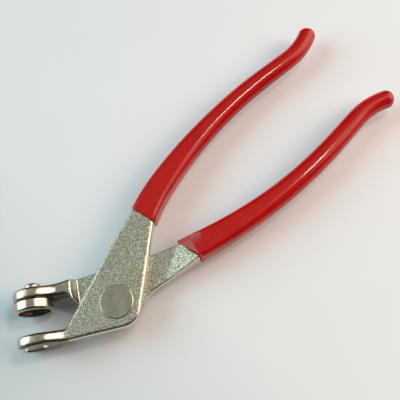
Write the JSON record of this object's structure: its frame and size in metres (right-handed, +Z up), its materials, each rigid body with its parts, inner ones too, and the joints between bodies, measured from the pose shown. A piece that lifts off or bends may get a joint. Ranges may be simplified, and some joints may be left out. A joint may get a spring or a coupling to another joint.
{
  "type": "cleco pliers",
  "caption": "Hand pliers with offset jaws, a slotted fork and a round cup, that squeeze the plunger of a temporary sheet fastener; vinyl-dipped handles.",
  "frame": {"origin": "middle of the tool's outline as it lies flat, at the height of the lowest point of the round jaws", "axes": "+X from the jaws towards the handles' ends, +Z up along the rivet's axis from the tail to the head, +Y towards the handle of the fork lever"},
  "size_m": [0.214, 0.0704, 0.0186],
  "materials": {
    "plated_steel": "blasted flats and polished edges under a thin bright plating",
    "rivet_steel": "satin, pressed head",
    "cup_steel": "turned and polished",
    "dipped_vinyl": "glossy dipped vinyl"
  },
  "bodies": {
    "fork_side": {"fork_lever": "plated_steel", "fork_grip": "dipped_vinyl", "pivot_rivet": "rivet_steel"},
    "pad_side": {"pad_lever": "plated_steel", "pad_grip": "dipped_vinyl", "plunger_cup": "cup_steel"}
  },
  "joints": [
    {"name": "pivot", "type": "hinge", "parent": "fork_side", "child": "pad_side", "pos_m": [-0.0618, -0.00434, 0.0093], "axis": [0, 0, 1], "range_deg": [-45, 5]}
  ]
}
